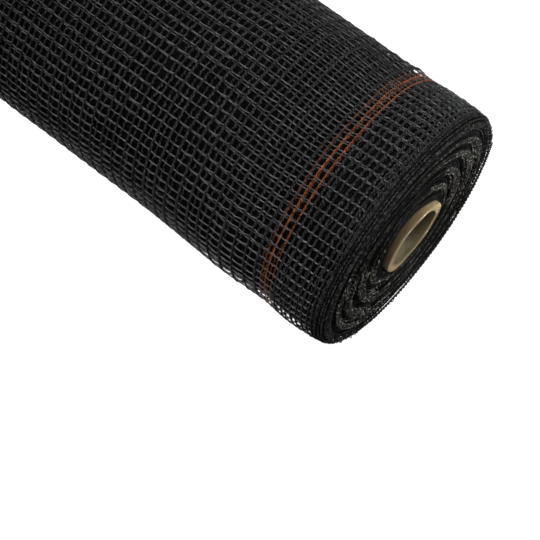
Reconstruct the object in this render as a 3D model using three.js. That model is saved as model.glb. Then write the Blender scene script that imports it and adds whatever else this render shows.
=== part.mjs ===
// Roll of debris netting wound on a paperboard core, lying on its side.
// Millimetres, +Z up. The roll's axis runs along X and it rests on its flat spot at z = 0.
import * as THREE from 'three';

const { degToRad, euclideanModulo, lerp } = THREE.MathUtils;

// Driving dimensions
const NETTING_WIDTH = 1000;      // width of the netting, so length of the roll
const ROLL_RADIUS = 82;          // mean outside radius of the winding
const CORE_RADIUS = 25;          // outside of the paperboard tube
const BORE_RADIUS = 20;          // inside of the tube, open from end to end
const CORE_PROUD = 2.5;          // how far the tube stands out past the netting
const WINDING_CLEARANCE = 0.3;   // between the tube and the first turn
const FLAT_SINK = 1.6;           // how far the winding settles where it rests
const SHOULDER = 6;              // rounding from the outside to the end face
const RIM_WEAR = 0.6;            // bevel on the tube's cut rims

// Unevenness of the outside
const OVAL = 0.5;                // the soft roll is this much wider and lower than round
const LAP_HEIGHT = 1.1;          // step where the outside lap ends
const LAP_ANGLE = 311;           // degrees round from +Y, low at the back
const LAP_SPAN = 1.5;            // degrees taken up by that step

// Unevenness of the end faces
const RIDGE_SWAY = 1.1;          // the ridges wander this far in and out
const RIDGE_SWAY_TURNS = 2;
const RIDGE_LIFT = 0.7;          // and this far up and down
const RIDGE_LIFT_TURNS = 3;

// Fineness of the shapes
const COLUMNS = 60;              // sections round the winding
const BODY_STEPS = 12;           // rings from a shoulder to the middle of the winding
const BODY_CROWDING = 1.8;       // above 1, those rings lie closer together near the ends
const SHOULDER_RINGS = 3;
const CORE_COLUMNS = 48;         // sections round the tube

const AXIS_HEIGHT = ROLL_RADIUS - FLAT_SINK;
const END = NETTING_WIDTH / 2;

// Ridges on each end face, where turns of the netting bunch together, from the tube outwards.
// groove: radius of the groove inside the ridge; floor: its depth, measured past the netting's edge;
// crest: radius of the ridge's top; top: its height, measured the same way
const RIDGES = [
  { groove: CORE_RADIUS + WINDING_CLEARANCE, floor: -6.0, crest: 33, top: -0.8 },
  { groove: 39.5, floor: -4.8, crest: 45, top: -0.2 },
  { groove: 51, floor: -5.0, crest: 57, top: 0 },
  { groove: 61.5, floor: -4.2, crest: 66, top: -0.3 },
  { groove: 71, floor: -3.8, crest: ROLL_RADIUS - SHOULDER, top: -0.2 },
];

// Swells and dips along the winding, alike at both ends.
// inset: from the end; height: out from the mean radius; along: half length of the swell;
// toward: side that it leans to, in degrees from +Y; lean: 0 for all round, 1 for that side only
const SWELLS = [
  { inset: 22, height: 0.5, along: 10, toward: 200, lean: 0.3 },
  { inset: 45, height: -1.1, along: 10, toward: 200, lean: 0.1 },
  { inset: 84, height: 0.9, along: 26, toward: 200, lean: 0.7 },
  { inset: 138, height: -0.7, along: 30, toward: 215, lean: 0.6 },
  { inset: 205, height: 0.6, along: 45, toward: 80, lean: 0.8 },
  { inset: 300, height: -0.6, along: 60, toward: 130, lean: 0.7 },
  { inset: 410, height: 0.7, along: 70, toward: 20, lean: 0.8 },
];

/** Outside radius of the winding at a place along it and an angle round it. */
function windingRadius(x, angle) {
  const turned = euclideanModulo(angle - degToRad(LAP_ANGLE), 2 * Math.PI) / (2 * Math.PI);
  const lap = LAP_HEIGHT * (turned - 0.5);
  const oval = OVAL * Math.cos(2 * angle);
  let swell = 0;
  for (const { inset, height, along, toward, lean } of SWELLS) {
    const away = (END - Math.abs(x) - inset) / along;
    const side = 1 - lean + lean * Math.cos(angle - degToRad(toward));
    swell += height * side * Math.exp(-away * away);
  }
  return ROLL_RADIUS + lap + oval + swell;
}

/** Rings of an end face from the tube outwards: round crests with narrow grooves between them. */
function endFaceRings() {
  const halfway = Math.SQRT1_2;   // share of a ridge's height reached half way up its round side
  return RIDGES.flatMap((ridge, index) => {
    const { groove, floor, crest, top } = ridge;
    const rings = [
      { radius: groove, reach: floor },
      { radius: lerp(groove, crest, 0.5), reach: lerp(floor, top, halfway) },
      { radius: crest, reach: top },
    ];
    const next = RIDGES[index + 1];
    if (next) {
      rings.push({ radius: lerp(crest, next.groove, 0.5), reach: lerp(next.floor, top, halfway) });
    }
    return rings;
  });
}

/** Point of an end face: its ridges wander on the way round, each out of step with its neighbours. */
function endFacePoint({ radius, reach }, angle, side) {
  const across = (radius - RIDGES[0].groove) / (ROLL_RADIUS - RIDGES[0].groove);
  const loose = Math.sin(Math.PI * across);
  const sway = RIDGE_SWAY * loose * Math.sin(RIDGE_SWAY_TURNS * angle);
  const lift = RIDGE_LIFT * loose * Math.sin(RIDGE_LIFT_TURNS * angle + radius);
  return { x: side * (END + reach + lift), radius: radius + sway };
}

/** Points of half the winding's outside, from the end face over the shoulder to the middle. */
function halfBody(angle, side) {
  const points = [];
  for (let ring = 1; ring <= SHOULDER_RINGS; ring += 1) {
    const turn = (Math.PI / 2) * (ring / (SHOULDER_RINGS + 1));
    const x = side * (END - SHOULDER * (1 - Math.cos(turn)));
    points.push({ x, radius: windingRadius(x, angle) - SHOULDER * (1 - Math.sin(turn)) });
  }
  for (let step = 0; step <= BODY_STEPS; step += 1) {
    const inward = (step / BODY_STEPS) ** BODY_CROWDING;
    const x = side * (END - SHOULDER) * (1 - inward);
    points.push({ x, radius: windingRadius(x, angle) });
  }
  return points;
}

/** Section through the winding at an angle: one end, the outside, the other end, back along its bore. */
function windingSection(angle) {
  const rings = endFaceRings();
  const oneHalf = [...rings.map((ring) => endFacePoint(ring, angle, 1)), ...halfBody(angle, 1)];
  const otherHalf = [...rings.map((ring) => endFacePoint(ring, angle, -1)), ...halfBody(angle, -1)];
  otherHalf.pop();   // the middle ring is in the first half already
  return [...oneHalf, ...otherHalf.reverse()];
}

/** Angles of the winding's sections, the last gap being the narrow step of the outside lap. */
function windingAngles() {
  const first = degToRad(LAP_ANGLE);
  const swept = degToRad(360 - LAP_SPAN);
  return Array.from({ length: COLUMNS }, (_, column) => first + (swept * column) / (COLUMNS - 1));
}

/** Closed solid round the axis from a closed section at each angle, flattened where it rests. */
function solidOfSections(angles, sectionAt) {
  const sections = angles.map((angle) => sectionAt(angle));
  const count = sections[0].length;
  const positions = [];
  const triangles = [];
  sections.forEach((section, column) => {
    const angle = angles[column];
    for (const { x, radius } of section) {
      const z = AXIS_HEIGHT + radius * Math.sin(angle);
      positions.push(x, radius * Math.cos(angle), Math.max(z, 0));
    }
    const here = column * count;
    const beside = ((column + 1) % angles.length) * count;
    for (let point = 0; point < count; point += 1) {
      const next = (point + 1) % count;
      triangles.push(here + point, here + next, beside + point);
      triangles.push(here + next, beside + next, beside + point);
    }
  });
  const geometry = new THREE.BufferGeometry();
  geometry.setAttribute('position', new THREE.Float32BufferAttribute(positions, 3));
  geometry.setIndex(triangles);
  geometry.computeVertexNormals();
  return geometry;
}

/** The wound netting, black knitted polyethylene. */
function makeNettingRoll() {
  const geometry = solidOfSections(windingAngles(), windingSection);
  const material = new THREE.MeshStandardMaterial({ color: 0x1c1d1f, roughness: 0.65, metalness: 0 });
  const mesh = new THREE.Mesh(geometry, material);
  mesh.name = 'netting_roll';
  return mesh;
}

/** The paperboard winding tube with slightly worn rims. */
function makeCoreTube() {
  const end = END + CORE_PROUD;
  const rim = [
    { x: end - RIM_WEAR, radius: BORE_RADIUS },
    { x: end, radius: BORE_RADIUS + RIM_WEAR },
    { x: end, radius: CORE_RADIUS - RIM_WEAR },
    { x: end - RIM_WEAR, radius: CORE_RADIUS },
  ];
  const farRim = rim.map(({ x, radius }) => ({ x: -x, radius })).reverse();
  const angles = Array.from({ length: CORE_COLUMNS }, (_, column) => (2 * Math.PI * column) / CORE_COLUMNS);
  const geometry = solidOfSections(angles, () => [...rim, ...farRim]);
  const material = new THREE.MeshStandardMaterial({ color: 0xb79a72, roughness: 0.9, metalness: 0 });
  const mesh = new THREE.Mesh(geometry, material);
  mesh.name = 'core_tube';
  return mesh;
}

/** The whole roll, with the origin under the middle of its bounding box. */
function makeRoll() {
  const roll = new THREE.Group();
  roll.add(makeNettingRoll(), makeCoreTube());
  const box = new THREE.Box3().setFromObject(roll);
  roll.position.y = -(box.min.y + box.max.y) / 2;
  return roll;
}

export default makeRoll();
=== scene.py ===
"""Roll of debris netting on its paperboard core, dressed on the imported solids.

The roll lies along X and rests on z = 0. Sizes below are millimetres, and meshes are metres.
Angles round the roll run from +Y towards +Z.
"""

import logging
import math
from dataclasses import dataclass
from enum import Enum

import bpy
import numpy as np
from mathutils import Matrix, Vector
from mathutils.bvhtree import BVHTree


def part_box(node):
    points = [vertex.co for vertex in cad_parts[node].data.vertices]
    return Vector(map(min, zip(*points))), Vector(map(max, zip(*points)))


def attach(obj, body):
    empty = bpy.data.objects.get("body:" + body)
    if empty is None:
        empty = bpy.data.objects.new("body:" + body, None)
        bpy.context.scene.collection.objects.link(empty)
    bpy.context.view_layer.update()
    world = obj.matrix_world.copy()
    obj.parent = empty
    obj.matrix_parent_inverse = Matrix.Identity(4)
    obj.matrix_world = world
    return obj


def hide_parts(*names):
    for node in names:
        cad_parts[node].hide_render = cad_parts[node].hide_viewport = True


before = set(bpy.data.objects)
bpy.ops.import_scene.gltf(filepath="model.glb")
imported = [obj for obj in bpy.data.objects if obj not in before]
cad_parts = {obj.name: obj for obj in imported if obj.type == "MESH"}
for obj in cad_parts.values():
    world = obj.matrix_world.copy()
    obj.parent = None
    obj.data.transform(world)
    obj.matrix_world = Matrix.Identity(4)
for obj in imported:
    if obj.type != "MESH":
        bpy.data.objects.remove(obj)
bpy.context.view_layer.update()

log = logging.getLogger("netting_roll")

Array = np.ndarray
MM = 0.001
TURN = 2.0 * math.pi
FULL_CIRCLE = 360.0


class RollEnd(Enum):
    """The two ends of the roll, by the sign of X there."""

    NEAR = 1
    FAR = -1


class StrandForm(Enum):
    """How a strand's thickness runs along its path."""

    KNIT_CHAIN = "knit_chain"
    PLAIN = "plain_strand"


# Helpers


@dataclass(frozen=True)
class Span:
    """A range that random sizes are drawn from evenly."""

    low: float
    high: float

    def draw(self, random: np.random.Generator, shape: int | tuple[int, int]) -> Array:
        """Draw random sizes in an array of the given shape."""
        return random.uniform(self.low, self.high, shape)


@dataclass(frozen=True)
class Wave:
    """A wave along the roll, by its height and its length."""

    height: float
    length: float

    def at(self, x: Array, phase: Array | float) -> Array:
        """Height of the wave at places along the roll."""
        return self.height * np.sin(TURN * x / self.length + phase)


def smoothed(values: Array) -> Array:
    """Average each column of a map with the two beside it."""
    return (np.roll(values, 1, 1) + values + np.roll(values, -1, 1)) / 3.0


def linear(hex_colour: str) -> tuple[float, float, float, float]:
    """Turn an sRGB hex colour into linear light, by the numbers of the sRGB standard.

    Args:
        hex_colour: six hex digits after a hash sign.

    Returns:
        Red, green, blue and an alpha of 1.
    """
    shares = [int(hex_colour[place:place + 2], 16) / 255.0 for place in (1, 3, 5)]
    light = [share / 12.92 if share <= 0.04045 else ((share + 0.055) / 1.055) ** 2.4 for share in shares]
    return (*light, 1.0)


def add_node(tree: bpy.types.NodeTree, kind: str, settings: dict | None = None,
             inputs: dict | None = None) -> bpy.types.Node:
    """Add a node with its settings and links.

    Args:
        tree: shader or geometry tree.
        kind: Blender's name for the node's type.
        settings: values of the node's own attributes.
        inputs: by socket name or number, a value to set or an output socket to link from.

    Returns:
        The new node.
    """
    node = tree.nodes.new(kind)
    for name, value in (settings or {}).items():
        setattr(node, name, value)
    for socket, value in (inputs or {}).items():
        if isinstance(value, bpy.types.NodeSocket):
            tree.links.new(value, node.inputs[socket])
        else:
            node.inputs[socket].default_value = value
    return node


def new_material(name: str) -> tuple[bpy.types.Material, bpy.types.NodeTree]:
    """Make an empty node material.

    Args:
        name: the finish's plain name.

    Returns:
        The material and its tree.
    """
    material = bpy.data.materials.new(name)
    material.use_nodes = True
    material.node_tree.nodes.clear()
    return material, material.node_tree


def roll_coordinates(tree: bpy.types.NodeTree, axis_y: float,
                     axis_z: float) -> tuple[bpy.types.Node, bpy.types.Node, bpy.types.Node]:
    """Add coordinates that are centred on the roll's axis.

    Args:
        tree: a material's tree.
        axis_y: where the axis lies across the floor.
        axis_z: its height over the floor.

    Returns:
        Nodes of the centred place, of its three parts and of its angle round the axis.
    """
    coordinates = add_node(tree, "ShaderNodeTexCoord")
    centred = add_node(tree, "ShaderNodeMapping", {}, {
        "Vector": coordinates.outputs["Object"], "Location": (0.0, -axis_y * MM, -axis_z * MM)})
    part = add_node(tree, "ShaderNodeSeparateXYZ", {}, {"Vector": centred.outputs["Vector"]})
    angle = add_node(tree, "ShaderNodeMath", {"operation": "ARCTAN2"}, {
        0: part.outputs["Z"], 1: part.outputs["Y"]})
    return centred, part, angle


def place_piece(name: str, mesh: bpy.types.Mesh) -> bpy.types.Object:
    """Put a finished mesh into the scene as a piece of the roll.

    Args:
        name: the piece's name.
        mesh: its mesh, already in place.

    Returns:
        The new object, riding on the roll.
    """
    piece = bpy.data.objects.new(name, mesh)
    bpy.context.scene.collection.objects.link(piece)
    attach(piece, "root")
    log.info("%s: %d faces", name, len(mesh.polygons))
    return piece


def ring_mesh(name: str, points: Array) -> bpy.types.Mesh:
    """Join closed sections round the roll into one closed skin.

    Args:
        name: the mesh's name.
        points: metres, by angle round the roll, then by place along the closed section.

    Returns:
        The mesh, smooth, with its faces pointing out.
    """
    columns, count = points.shape[:2]
    index = np.arange(columns * count).reshape(columns, count)
    beside = np.roll(index, -1, axis=0)
    after = np.roll(index, -1, axis=1)
    corner = np.roll(beside, -1, axis=1)
    quads = np.stack([index, after, corner, beside], axis=-1).reshape(-1, 4)
    mesh = bpy.data.meshes.new(name)
    mesh.from_pydata(points.reshape(-1, 3).tolist(), [], quads.tolist())
    mesh.shade_smooth()
    return mesh


# Finishes of the netting


@dataclass(frozen=True)
class PolyethyleneFinish:
    """Polyethylene yarn drawn and knitted: dense colour, a waxy gloss that varies along the strand.

    The yarn's own fibres are too fine to show, so its paler patches and the slanting legs of its
    stitches are drawn as coarse as they need to show.
    """

    name: str
    colour: str
    pale: str
    roughness: float
    gloss: float
    patch: float
    fuzz: float
    onset: float = 0.4
    fade: float = 0.2
    stitch: float = 0.0
    stroke: float = 0.12
    fibre: float = 0.5
    fibre_height: float = 0.3
    refraction: float = 1.54

    def strokes(self, tree: bpy.types.NodeTree, place: bpy.types.NodeSocket,
                patches: bpy.types.NodeSocket) -> bpy.types.NodeSocket:
        """Add the slanting legs of the stitches to the patches.

        Args:
            tree: the material's tree.
            place: object coordinates.
            patches: the patches' brightness.

        Returns:
            Brightness of the patches with the legs.
        """
        along = add_node(tree, "ShaderNodeAttribute", {"attribute_name": "along"})
        middle = add_node(tree, "ShaderNodeAttribute", {"attribute_name": "middle"})
        part = add_node(tree, "ShaderNodeSeparateXYZ", {}, {"Vector": place})
        across = add_node(tree, "ShaderNodeMath", {"operation": "SUBTRACT"}, {
            0: part.outputs["X"], 1: middle.outputs["Fac"]})
        slanted = add_node(tree, "ShaderNodeMath", {"operation": "ADD"}, {
            0: along.outputs["Fac"], 1: across.outputs["Value"]})
        phase = add_node(tree, "ShaderNodeMath", {"operation": "MULTIPLY_ADD"}, {
            0: slanted.outputs["Value"], 1: TURN / (self.stitch * MM), 2: patches})
        leg = add_node(tree, "ShaderNodeMath", {"operation": "SINE"}, {0: phase.outputs["Value"]})
        return add_node(tree, "ShaderNodeMath", {"operation": "MULTIPLY_ADD"}, {
            0: leg.outputs["Value"], 1: self.stroke, 2: patches}).outputs["Value"]

    def material(self) -> bpy.types.Material:
        """Make the node material.

        Returns:
            The material, ready for a strand.
        """
        material, tree = new_material(self.name)
        coordinates = add_node(tree, "ShaderNodeTexCoord")
        patches = add_node(tree, "ShaderNodeTexNoise", {}, {
            "Vector": coordinates.outputs["Object"], "Scale": 1.0 / (self.patch * MM), "Detail": 3.0})
        brightness = patches.outputs["Fac"]
        if self.stitch:
            brightness = self.strokes(tree, coordinates.outputs["Object"], brightness)
        spread = add_node(tree, "ShaderNodeMapRange", {}, {
            "Value": brightness, "From Min": self.onset, "From Max": self.onset + self.fade})
        colour = add_node(tree, "ShaderNodeMix", {"data_type": "RGBA"}, {
            "Factor": spread.outputs["Result"], "A": linear(self.colour), "B": linear(self.pale)})
        fibres = add_node(tree, "ShaderNodeTexNoise", {}, {
            "Vector": coordinates.outputs["Object"], "Scale": 1.0 / (self.fibre * MM), "Detail": 2.0})
        bump = add_node(tree, "ShaderNodeBump", {}, {
            "Height": fibres.outputs["Fac"], "Strength": self.fuzz, "Distance": self.fibre_height * MM})
        shader = add_node(tree, "ShaderNodeBsdfPrincipled", {}, {
            "Base Color": colour.outputs["Result"], "Normal": bump.outputs["Normal"],
            "Roughness": self.roughness, "IOR": self.refraction, "Specular IOR Level": self.gloss})
        add_node(tree, "ShaderNodeOutputMaterial", {}, {"Surface": shader.outputs["BSDF"]})
        return material


# Knitted chains are soft multi-loop yarn: they scatter light and look dull and mottled.
CHAIN_FINISH = PolyethyleneFinish(
    "knitted_polyethylene_black", colour="#020202", pale="#3b3b3d", roughness=0.7, gloss=0.2,
    patch=1.4, fuzz=1.0, onset=0.44, stitch=2.2)
# A darker copy of the chain finish for the second turn: painted shade for the turn under the outermost.
SHADED_CHAIN_FINISH = PolyethyleneFinish(
    "knitted_polyethylene_painted_shade", colour="#020202", pale="#444445", roughness=0.75, gloss=0.18,
    patch=1.6, fuzz=1.0, onset=0.46, stitch=2.6)
# A darker copy of the chain finish for the turns' edges on the shoulder: painted shade.
SHOULDER_PAINTED_SHADE_FINISH = PolyethyleneFinish(
    "knitted_polyethylene_shoulder", colour="#010101", pale="#3c3c3e", roughness=0.75, gloss=0.15,
    patch=2.0, fuzz=0.8, onset=0.45)
# A near-black copy of the chain finish: painted shade for the third turn, the grooves between ridges on
# the end faces, the collar round the core and the sunk rings.
DEEP_SHADE_CHAIN_FINISH = PolyethyleneFinish(
    "knitted_polyethylene_painted_deep_shade", colour="#020202", pale="#121212", roughness=0.8, gloss=0.1,
    patch=1.5, fuzz=1.0)
# The crosswise strands are drawn monofilament: round, smooth and shiny.
WEFT_FINISH = PolyethyleneFinish(
    "polyethylene_monofilament_black", colour="#0e0e10", pale="#606066", roughness=0.38, gloss=0.7,
    patch=2.5, fuzz=0.3)
# A darker copy of the monofilament finish for the second turn and the edge loops: painted shade.
SHADED_WEFT_FINISH = PolyethyleneFinish(
    "polyethylene_monofilament_painted_shade", colour="#060606", pale="#58585c", roughness=0.42, gloss=0.5,
    patch=3.0, fuzz=0.2, onset=0.44)
# The netting's edges on the end faces: a pale copy of the finish for two opposite sectors, painted light
# on the lobes there, and a darker copy for the rest, painted shade.
PAINTED_LIGHT_EDGE_FINISH = PolyethyleneFinish(
    "knitted_polyethylene_painted_light", colour="#010101", pale="#9c9a91", roughness=0.6, gloss=0.25,
    patch=2.0, fuzz=1.0, onset=0.48)
PAINTED_SHADE_EDGE_FINISH = PolyethyleneFinish(
    "knitted_polyethylene_edge", colour="#010101", pale="#53514c", roughness=0.65, gloss=0.2,
    patch=2.5, fuzz=0.8, onset=0.46)
EDGE_MONOFIL_FINISH = PolyethyleneFinish(
    "polyethylene_monofilament_end_face", colour="#080807", pale="#3c3b35", roughness=0.5, gloss=0.3,
    patch=2.0, fuzz=0.5)
# The marker chains near each edge are the same yarn dyed in the mass: a dull orange-brown.
MARKER_FINISH = PolyethyleneFinish(
    "knitted_polyethylene_orange", colour="#461b08", pale="#bc6830", roughness=0.5, gloss=0.35,
    patch=1.2, fuzz=0.8)
# A darker copy of the orange finish for the sunk marker chain and the turns beneath: painted shade.
SHADED_MARKER_FINISH = PolyethyleneFinish(
    "knitted_polyethylene_orange_painted_shade", colour="#2c1208", pale="#7c4422", roughness=0.6, gloss=0.2,
    patch=1.4, fuzz=0.8)


# Form of the wound solid


@dataclass(frozen=True)
class PolarMap:
    """A size measured at rows and at even angles round the roll's axis."""

    rows: Array
    values: Array

    def at(self, row: Array, angle: Array) -> Array:
        """Read the size anywhere between the measured places.

        Args:
            row: place on the rows' scale.
            angle: radians round the axis.

        Returns:
            The size there.
        """
        columns = self.values.shape[1]
        last = len(self.rows) - 1
        below_last = last - 1e-6
        row_place = np.clip(np.interp(row, self.rows, np.arange(last + 1)), 0.0, below_last)
        column_place = np.mod(angle / TURN, 1.0) * columns
        low = row_place.astype(int)
        left = column_place.astype(int) % columns
        right = (left + 1) % columns
        up = row_place - low
        across = column_place - np.floor(column_place)
        below = self.values[low, left] * (1.0 - across) + self.values[low, right] * across
        above = self.values[low + 1, left] * (1.0 - across) + self.values[low + 1, right] * across
        return below * (1.0 - up) + above * up


@dataclass(frozen=True)
class LooseSpot:
    """Where the outermost turn stands off the roll: its place, its height and how far it spreads."""

    inset: float
    angle: float
    lift: float
    along: float
    around: float


@dataclass
class WoundForm:
    """Form of the wound solid, measured on its node so that the netting lies where the solid is."""

    netting: str = "netting_roll"
    core: str = "core_tube"
    edge: float = 500.0
    lap: float = 1.1
    free_edge: float = math.radians(311.0)
    columns: int = 120
    # Places measured along each half: first, last and number on the shoulder, then those on the body
    shoulder_insets: tuple[float, float, int] = (0.5, 8.0, 12)
    body_start: float = 12.0
    middle_gap: float = 4.0
    body_rows: int = 122
    ray_radius: float = 150.0
    ray_reach: float = 60.0
    face_gap: float = 0.6
    face_outer: float = 79.5
    face_rows: int = 60
    loose: tuple[LooseSpot, ...] = (
        LooseSpot(inset=36.0, angle=203.0, lift=3.4, along=24.0, around=10.0),
        LooseSpot(inset=85.0, angle=202.0, lift=1.6, along=24.0, around=10.0),
        LooseSpot(inset=52.0, angle=28.0, lift=3.2, along=5.0, around=9.0),
        LooseSpot(inset=255.0, angle=203.0, lift=1.6, along=22.0, around=12.0),
        LooseSpot(inset=640.0, angle=180.0, lift=1.4, along=60.0, around=20.0),
    )
    raised_share: float = 0.4

    def __post_init__(self) -> None:
        """Measure the solid."""
        low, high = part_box(self.core)
        self.axis_y = (low.y + high.y) / 2.0 / MM
        self.axis_z = (low.z + high.z) / 2.0 / MM
        self.core_radius = (high.y - low.y) / 2.0 / MM
        self.core_end = high.x / MM
        self.angles = np.arange(self.columns) * TURN / self.columns
        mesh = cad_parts[self.netting].data
        corners = [vertex.co.copy() for vertex in mesh.vertices]
        self.solid = BVHTree.FromPolygons(corners, [face.vertices[:] for face in mesh.polygons])
        self.outside = self.measure_outside()
        self.faces = {end: self.measure_face(end) for end in RollEnd}

    def hit(self, start: Array, heading: Array) -> Vector:
        """Point where a ray first meets the solid, in millimetres."""
        found = self.solid.ray_cast(Vector(start) * MM, Vector(heading))[0]
        return found / MM

    def turned(self, angle: Array) -> Array:
        """Share of a turn from the free edge round to an angle."""
        return np.mod((angle - self.free_edge) / TURN, 1.0)

    def measure_outside(self) -> PolarMap:
        """Measure the outside radius along and round the roll.

        Returns:
            The radius with the outside lap's slow spiral taken out.
        """
        body_insets = np.linspace(self.body_start, self.edge - self.middle_gap, self.body_rows)
        insets = np.concatenate([np.linspace(*self.shoulder_insets), body_insets])
        rows = np.concatenate([insets - self.edge, (self.edge - insets)[::-1]])
        radii = np.zeros((len(rows), self.columns))
        for column, angle in enumerate(self.angles):
            out = np.array([0.0, math.cos(angle), math.sin(angle)])
            for row, x in enumerate(rows):
                start = np.array([x, self.axis_y, self.axis_z]) + out * self.ray_radius
                radii[row, column] = self.ray_radius - (self.hit(start, -out) - Vector(start)).length
        return PolarMap(rows, smoothed(radii - self.lap * (self.turned(self.angles) - 0.5)))

    def measure_face(self, end: RollEnd) -> PolarMap:
        """Measure how far an end face reaches past the netting's edge line.

        Args:
            end: which end of the roll.

        Returns:
            The reach by radius and angle.
        """
        rows = np.linspace(self.core_radius + self.face_gap, self.face_outer, self.face_rows)
        start_x = end.value * (self.edge + self.ray_reach)
        heading = np.array([-end.value, 0.0, 0.0])
        reach = np.zeros((len(rows), self.columns))
        for column, angle in enumerate(self.angles):
            for row, radius in enumerate(rows):
                y = self.axis_y + radius * math.cos(angle)
                z = self.axis_z + radius * math.sin(angle)
                reach[row, column] = abs(self.hit(np.array([start_x, y, z]), heading).x) - self.edge
        return PolarMap(rows, smoothed(reach))

    def netting_radius(self, along: Array, wound: Array) -> Array:
        """Radius of the netting's outside along the roll, by radians wound back from its free edge."""
        return self.outside.at(along, self.free_edge - wound) + self.lap * (0.5 - wound / TURN)

    def slack(self, x: Array, angle: Array) -> Array:
        """Width of the gap under the outermost turn where it is loose.

        Args:
            x: along the roll.
            angle: radians round it.

        Returns:
            The gap's width.
        """
        total = np.zeros(np.broadcast(x, angle).shape)
        half_circle = FULL_CIRCLE / 2.0
        for spot in self.loose:
            along = (self.edge - x - spot.inset) / spot.along
            off = np.mod(np.degrees(angle) - spot.angle + half_circle, FULL_CIRCLE) - half_circle
            total = total + spot.lift * np.exp(-along**2 - (off / spot.around) ** 2)
        return total

    def points(self, x: Array, radius: Array, angle: Array, lowest: float = 0.0) -> Array:
        """Turn places on the roll into points.

        Args:
            x: along the roll.
            radius: out from its axis.
            angle: radians round it.
            lowest: height above the floor that no point goes under.

        Returns:
            Points in metres, with the three coordinates last.
        """
        y = self.axis_y + radius * np.cos(angle)
        z = np.maximum(self.axis_z + radius * np.sin(angle), lowest)
        return np.stack(np.broadcast_arrays(x, y, z), axis=-1) * MM


# Strands


@dataclass(frozen=True)
class Strand:
    """Sizes of one kind of strand."""

    form: StrandForm
    width: float
    sides: int = 3
    neck: float = 0.0
    stitch: float = 0.0
    zigzag: float = 0.0
    flatness: float = 1.0
    ruffle: float = 0.0
    ruffle_length: float = 6.0
    seed: int = 1


# Strands of the turns that show through the outside
OUTER_CHAIN = Strand(StrandForm.KNIT_CHAIN, width=2.4, neck=1.7, stitch=3.3, zigzag=0.7, flatness=0.6,
                     ruffle=0.9, ruffle_length=2.5)
BORDER_CHAIN = Strand(StrandForm.KNIT_CHAIN, width=1.9, neck=1.3, stitch=3.3, zigzag=0.6, flatness=0.65,
                      ruffle=0.8, ruffle_length=2.5, seed=9)
MARKER_CHAIN = Strand(StrandForm.KNIT_CHAIN, width=0.9, neck=0.5, stitch=2.2, zigzag=0.5, flatness=0.8,
                      ruffle=0.6, ruffle_length=2.5)
INNER_MARKER_CHAIN = Strand(StrandForm.KNIT_CHAIN, width=1.4, neck=0.8, stitch=3.6, zigzag=0.7,
                            flatness=0.8, ruffle=0.9, ruffle_length=2.5)
SECOND_CHAIN = Strand(StrandForm.KNIT_CHAIN, width=2.0, neck=1.4, stitch=5.5, zigzag=0.7, flatness=0.7,
                      ruffle=1.2, ruffle_length=3.5, seed=2)
THIRD_CHAIN = Strand(StrandForm.KNIT_CHAIN, width=2.0, neck=1.4, stitch=13.0, flatness=0.5,
                     ruffle=1.4, seed=3)
MONOFILAMENT = Strand(StrandForm.PLAIN, width=0.76, ruffle=0.3, ruffle_length=5.0, seed=4)
# Strands of the turns' edges on the end faces
PAINTED_LIGHT_RING = Strand(StrandForm.KNIT_CHAIN, width=1.15, neck=0.7, stitch=4.4, zigzag=0.8,
                     ruffle=0.6, ruffle_length=3.0, seed=5)
PAINTED_SHADE_RING = Strand(StrandForm.KNIT_CHAIN, width=1.1, neck=0.7, stitch=3.0, zigzag=0.3,
                    ruffle=0.3, ruffle_length=3.0, seed=10)
BUNCHED_RING = Strand(StrandForm.KNIT_CHAIN, width=1.2, neck=0.7, stitch=2.6, zigzag=0.5,
                      ruffle=0.5, ruffle_length=2.0, seed=8)
DEEP_RING = Strand(StrandForm.PLAIN, width=1.0, ruffle=0.6, ruffle_length=3.5, seed=7)
LOOP_STRAND = Strand(StrandForm.PLAIN, width=0.55, ruffle=0.3, ruffle_length=5.0, seed=6)


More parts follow.
